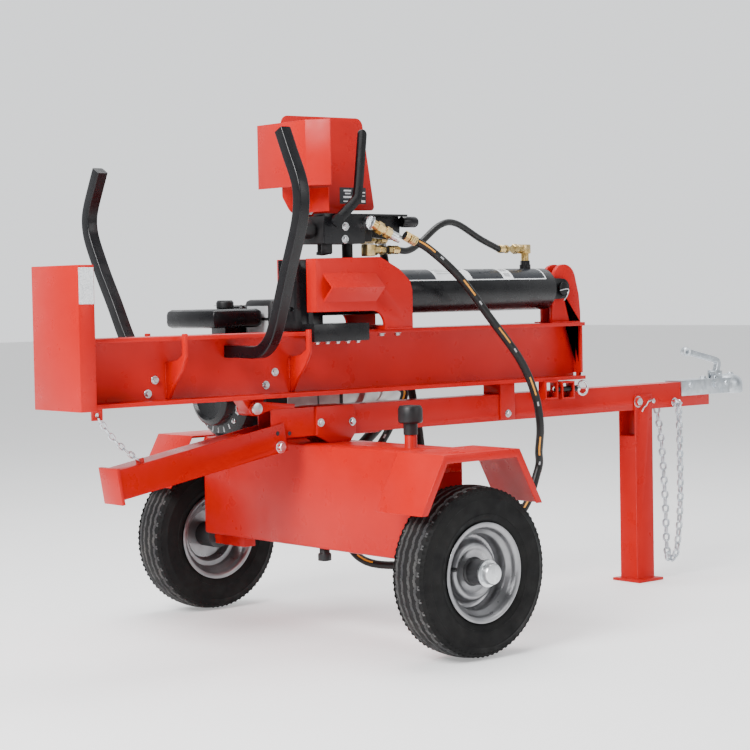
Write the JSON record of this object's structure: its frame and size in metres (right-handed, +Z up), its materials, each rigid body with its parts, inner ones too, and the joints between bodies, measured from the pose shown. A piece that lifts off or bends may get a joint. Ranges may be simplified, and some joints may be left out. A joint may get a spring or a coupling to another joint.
{
  "type": "log splitter",
  "caption": "Towable hydraulic log splitter: tilting splitting beam with a ram-driven wedge, oil tank chassis on two wheels, engine and pump, folding stand and ball coupler.",
  "frame": {"origin": "on the ground, under the middle of the machine's bounding box", "axes": "+X along the tongue to the ball coupler, +Y to the engine side, +Z up"},
  "size_m": [2.411, 1.214, 1.305],
  "materials": {
    "red_paint": "glossy",
    "black_paint": "satin",
    "tyre_rubber": "matte",
    "silver_paint": "satin",
    "zinc_plate": "galvanised",
    "hard_chrome": "polished",
    "cast_aluminium": "as cast",
    "brass": "satin",
    "hose_rubber": "matte",
    "black_plastic": "matte"
  },
  "bodies": {
    "chassis": {"axle_near": "red_paint", "axle_far": "red_paint", "oil_tank": "red_paint", "fender_near": "red_paint", "fender_far": "red_paint", "tongue_tube": "red_paint", "side_plate_near": "red_paint", "side_plate_far": "red_paint", "engine_plate": "red_paint", "tilt_bracket": "red_paint", "beam_rest": "red_paint", "latch_housing": "red_paint", "engine_block": "black_paint", "fan_shroud": "black_paint", "fuel_tank": "black_paint", "muffler": "black_paint", "air_cleaner": "black_plastic", "drain_plug": "black_plastic", "tilt_pin": "zinc_plate", "coupler_body": "zinc_plate", "pressure_hose": "hose_rubber", "return_hose": "hose_rubber", "suction_hose": "hose_rubber", "pump_mount": "cast_aluminium", "oil_pump": "cast_aluminium"},
    "wheel_near": {"tyre_near": "tyre_rubber", "rim_near": "silver_paint"},
    "wheel_far": {"tyre_far": "tyre_rubber", "rim_far": "silver_paint"},
    "latch_pin": {"latch_pin": "zinc_plate"},
    "coupler_lever": {"coupler_lever": "zinc_plate"},
    "front_stand": {"front_stand": "red_paint"},
    "safety_chain": {"safety_chain": "zinc_plate"},
    "rear_leg": {"rear_leg": "red_paint", "leg_chain": "zinc_plate"},
    "ram": {"ram_rod": "hard_chrome", "splitting_wedge": "black_paint"},
    "control_lever": {"control_lever": "black_paint"},
    "starter_grip": {"starter_grip": "black_plastic"},
    "throttle_lever": {"throttle_lever": "black_plastic"},
    "filler_cap": {"filler_cap": "black_plastic"},
    "fuel_cap": {"fuel_cap": "black_plastic"},
    "beam": {"splitting_beam": "red_paint", "foot_plate": "red_paint", "rear_hook_near": "red_paint", "rear_hook_far": "red_paint", "front_hook_near": "red_paint", "front_hook_far": "red_paint", "log_arm_near": "black_paint", "log_arm_far": "black_paint", "stripper_near": "red_paint", "stripper_far": "red_paint", "cylinder_barrel": "black_paint", "cylinder_anchor": "red_paint", "anchor_pin": "zinc_plate", "rear_port_elbow": "brass", "control_valve": "black_paint", "valve_guard": "red_paint", "lever_guard": "red_paint", "work_hose": "hose_rubber"}
  },
  "joints": [
    {"name": "beam_tilt", "type": "hinge", "parent": "chassis", "child": "beam", "pos_m": [-0.6645, 0, 0.578], "axis": [0, -1, 0], "range_deg": [0, 90], "deforming": ["pressure_hose", "return_hose", "leg_chain"]},
    {"name": "rear_leg_fold", "type": "hinge", "parent": "chassis", "child": "rear_leg", "pos_m": [-0.5945, 0, 0.48], "axis": [0, -1, 0], "range_deg": [0, 80.4]},
    {"name": "wheel_near_spin", "type": "hinge", "parent": "chassis", "child": "wheel_near", "pos_m": [-0.4245, -0.523, 0.203], "axis": [0, 1, 0], "continuous": true},
    {"name": "wheel_far_spin", "type": "hinge", "parent": "chassis", "child": "wheel_far", "pos_m": [-0.4245, 0.523, 0.203], "axis": [0, 1, 0], "continuous": true},
    {"name": "latch_pin_slide", "type": "slide", "parent": "chassis", "child": "latch_pin", "axis": [-1, 0, 0], "range_m": [0, 0.025]},
    {"name": "coupler_lever_turn", "type": "hinge", "parent": "chassis", "child": "coupler_lever", "pos_m": [1.1005, 0, 0.59], "axis": [0, -1, 0], "range_deg": [0, 20]},
    {"name": "front_stand_fold", "type": "hinge", "parent": "chassis", "child": "front_stand", "pos_m": [0.7155, 0, 0.525], "axis": [0, 1, 0], "range_deg": [0, 65]},
    {"name": "safety_chain_swing", "type": "hinge", "parent": "chassis", "child": "safety_chain", "pos_m": [0.8805, 0, 0.515], "axis": [0, 1, 0], "range_deg": [-20, 10]},
    {"name": "ram_slide", "type": "slide", "parent": "beam", "child": "ram", "axis": [-1, 0, 0], "range_m": [0, 0.57]},
    {"name": "control_lever_turn", "type": "hinge", "parent": "beam", "child": "control_lever", "pos_m": [-0.4545, -0.1, 1.035], "axis": [0, 1, 0], "range_deg": [-15, 15], "stiffness_Nm_per_rad": 8},
    {"name": "starter_grip_pull", "type": "slide", "parent": "chassis", "child": "starter_grip", "axis": [-1, 0, 0], "range_m": [0, 0.35], "stiffness_N_per_m": 15},
    {"name": "throttle_lever_turn", "type": "hinge", "parent": "chassis", "child": "throttle_lever", "pos_m": [-0.3445, 0.1697, 0.64], "axis": [0, 1, 0], "range_deg": [-25, 25]},
    {"name": "filler_cap_turn", "type": "hinge", "parent": "chassis", "child": "filler_cap", "pos_m": [-0.4245, -0.325, 0.541], "axis": [0, 0, 1], "range_deg": [0, 90]},
    {"name": "fuel_cap_turn", "type": "hinge", "parent": "chassis", "child": "fuel_cap", "pos_m": [-0.5045, 0.31, 0.8203], "axis": [0, 0, 1], "range_deg": [0, 90]}
  ],
  "couplings": [
    {"joint": "rear_leg_fold", "follows": "beam_tilt", "ratio": 0.8922}
  ]
}
